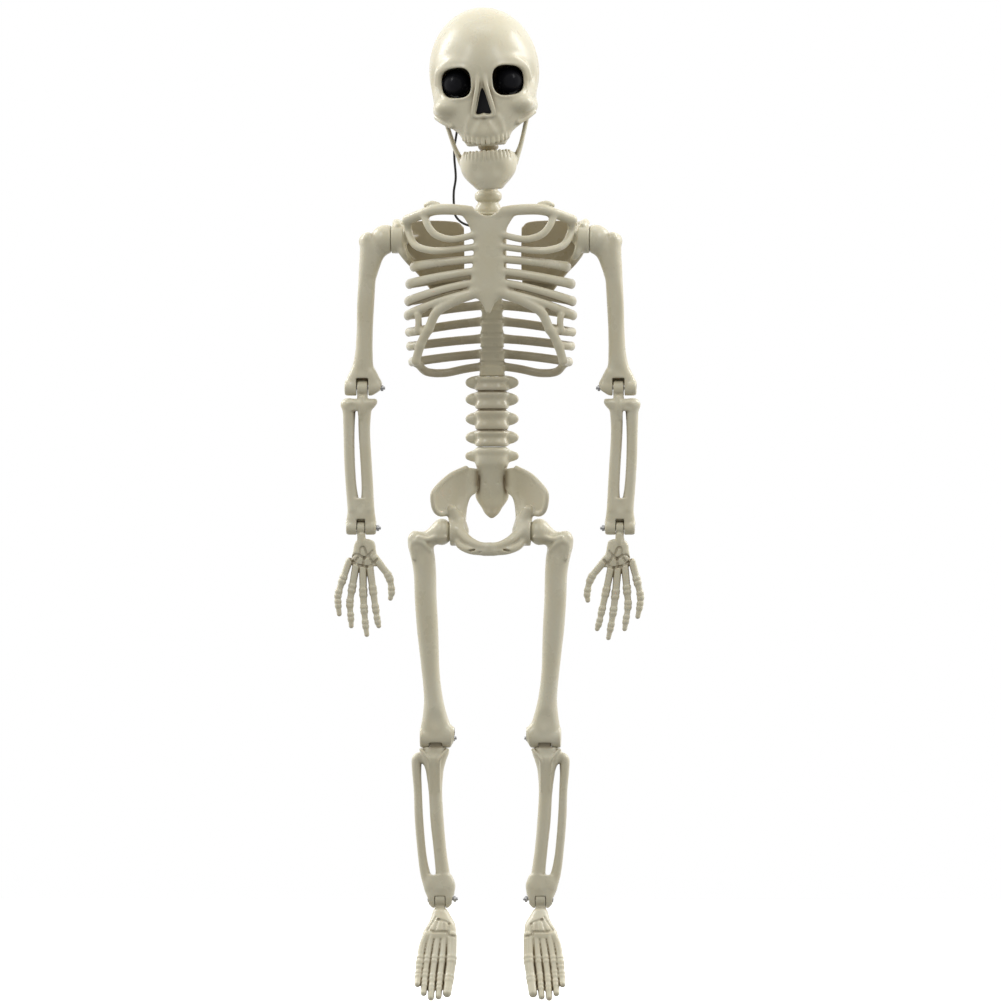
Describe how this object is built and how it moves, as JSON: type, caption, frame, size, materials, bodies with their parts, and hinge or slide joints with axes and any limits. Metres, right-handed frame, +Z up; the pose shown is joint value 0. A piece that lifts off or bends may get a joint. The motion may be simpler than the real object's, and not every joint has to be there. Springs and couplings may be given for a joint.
{
  "type": "halloween skeleton figure",
  "caption": "Hanging plastic skeleton figure with hinged neck, jaw, shoulders, elbows, wrists, hips, knees and ankles and a lead from skull to back battery box.",
  "frame": {"origin": "hang point at the base of the neck, on the body centre plane, level with the collarbones", "axes": "+Z up along the figure, +Y towards the back, -Y is the way the face looks, +X is the figure's own left"},
  "size_m": [0.2852, 0.124, 0.9167],
  "materials": {
    "bone_plastic": "semi-gloss ivory",
    "steel": "zinc plated",
    "black_lens": "high gloss",
    "black_rubber": "matte",
    "led_red": "clear tinted",
    "box_plastic": "fine texture",
    "switch_black": "matte",
    "cell_jacket": "satin"
  },
  "bodies": {
    "torso": {"rib_cage_front": "bone_plastic", "rib_cage_back": "bone_plastic", "lumbar_spine": "bone_plastic", "pelvis": "bone_plastic", "scapula_left": "bone_plastic", "scapula_right": "bone_plastic", "shoulder_pin_left": "steel", "shoulder_pin_right": "steel", "hip_pin_left": "steel", "hip_pin_right": "steel", "battery_box": "box_plastic", "battery_cover": "box_plastic", "battery_cover_screw": "steel", "battery_1": "cell_jacket", "battery_2": "cell_jacket", "battery_contact_top": "steel", "battery_contact_bottom": "steel", "eye_wire": "black_rubber"},
    "neck": {"neck": "bone_plastic"},
    "head": {"skull_face": "bone_plastic", "skull_back": "bone_plastic", "neck_socket": "box_plastic", "wire_grommet": "black_rubber", "eye_lens_left": "black_lens", "eye_lens_right": "black_lens", "led_left": "led_red", "led_right": "led_red", "jaw_pin_left": "steel", "jaw_pin_right": "steel"},
    "jaw": {"jaw": "bone_plastic"},
    "switch": {"power_switch": "switch_black"},
    "upper_arm_left": {"upper_arm_left": "bone_plastic", "elbow_screw_left": "steel", "elbow_nut_left": "steel"},
    "forearm_left": {"forearm_left": "bone_plastic", "wrist_screw_left": "steel", "wrist_nut_left": "steel"},
    "hand_left": {"hand_left": "bone_plastic"},
    "thigh_left": {"thigh_left": "bone_plastic", "knee_screw_left": "steel", "knee_nut_left": "steel"},
    "shin_left": {"shin_left": "bone_plastic", "ankle_screw_left": "steel", "ankle_nut_left": "steel"},
    "foot_left": {"foot_left": "bone_plastic"},
    "upper_arm_right": {"upper_arm_right": "bone_plastic", "elbow_screw_right": "steel", "elbow_nut_right": "steel"},
    "forearm_right": {"forearm_right": "bone_plastic", "wrist_screw_right": "steel", "wrist_nut_right": "steel"},
    "hand_right": {"hand_right": "bone_plastic"},
    "thigh_right": {"thigh_right": "bone_plastic", "knee_screw_right": "steel", "knee_nut_right": "steel"},
    "shin_right": {"shin_right": "bone_plastic", "ankle_screw_right": "steel", "ankle_nut_right": "steel"},
    "foot_right": {"foot_right": "bone_plastic"}
  },
  "joints": [
    {"name": "head_turn", "type": "hinge", "parent": "torso", "child": "neck", "pos_m": [-0.0025, 0.008, 0], "axis": [0, 0, 1], "range_deg": [-60, 60], "deforming": ["eye_wire"]},
    {"name": "head_nod", "type": "hinge", "parent": "neck", "child": "head", "pos_m": [-0.0025, 0.008, 0.072], "axis": [1, 0, 0], "range_deg": [-15, 10]},
    {"name": "jaw_open", "type": "hinge", "parent": "head", "child": "jaw", "pos_m": [-0.00342, -0.014, 0.08697], "axis": [0.9981, 0, 0.061], "range_deg": [-4.5, 12]},
    {"name": "switch_slide", "type": "slide", "parent": "torso", "child": "switch", "axis": [1, 0, 0], "range_m": [0, 0.0025]},
    {"name": "shoulder_left", "type": "hinge", "parent": "torso", "child": "upper_arm_left", "pos_m": [0.0917, 0, -0.0305], "axis": [-1, 0, 0], "continuous": true},
    {"name": "elbow_left", "type": "hinge", "parent": "upper_arm_left", "child": "forearm_left", "pos_m": [0.1185, 0, -0.1682], "axis": [-1, 0, 0], "range_deg": [0, 100]},
    {"name": "wrist_left", "type": "hinge", "parent": "forearm_left", "child": "hand_left", "pos_m": [0.1198, 0, -0.2975], "axis": [-1, 0, 0], "range_deg": [-60, 60]},
    {"name": "hip_left", "type": "hinge", "parent": "torso", "child": "thigh_left", "pos_m": [0.0377, 0, -0.301], "axis": [-1, 0, 0], "range_deg": [-30, 90]},
    {"name": "knee_left", "type": "hinge", "parent": "thigh_left", "child": "shin_left", "pos_m": [0.0504, 0, -0.4916], "axis": [1, 0, 0], "range_deg": [0, 95]},
    {"name": "ankle_left", "type": "hinge", "parent": "shin_left", "child": "foot_left", "pos_m": [0.0465, 0, -0.6403], "axis": [-1, 0, 0], "range_deg": [-15, 50]},
    {"name": "shoulder_right", "type": "hinge", "parent": "torso", "child": "upper_arm_right", "pos_m": [-0.0917, 0, -0.0305], "axis": [-1, 0, 0], "continuous": true},
    {"name": "elbow_right", "type": "hinge", "parent": "upper_arm_right", "child": "forearm_right", "pos_m": [-0.1185, 0, -0.1682], "axis": [-1, 0, 0], "range_deg": [0, 100]},
    {"name": "wrist_right", "type": "hinge", "parent": "forearm_right", "child": "hand_right", "pos_m": [-0.1198, 0, -0.2975], "axis": [-1, 0, 0], "range_deg": [-60, 60]},
    {"name": "hip_right", "type": "hinge", "parent": "torso", "child": "thigh_right", "pos_m": [-0.0377, 0, -0.301], "axis": [-1, 0, 0], "range_deg": [-30, 90]},
    {"name": "knee_right", "type": "hinge", "parent": "thigh_right", "child": "shin_right", "pos_m": [-0.0504, 0, -0.4916], "axis": [1, 0, 0], "range_deg": [0, 95]},
    {"name": "ankle_right", "type": "hinge", "parent": "shin_right", "child": "foot_right", "pos_m": [-0.0465, 0, -0.6403], "axis": [-1, 0, 0], "range_deg": [-15, 50]}
  ]
}
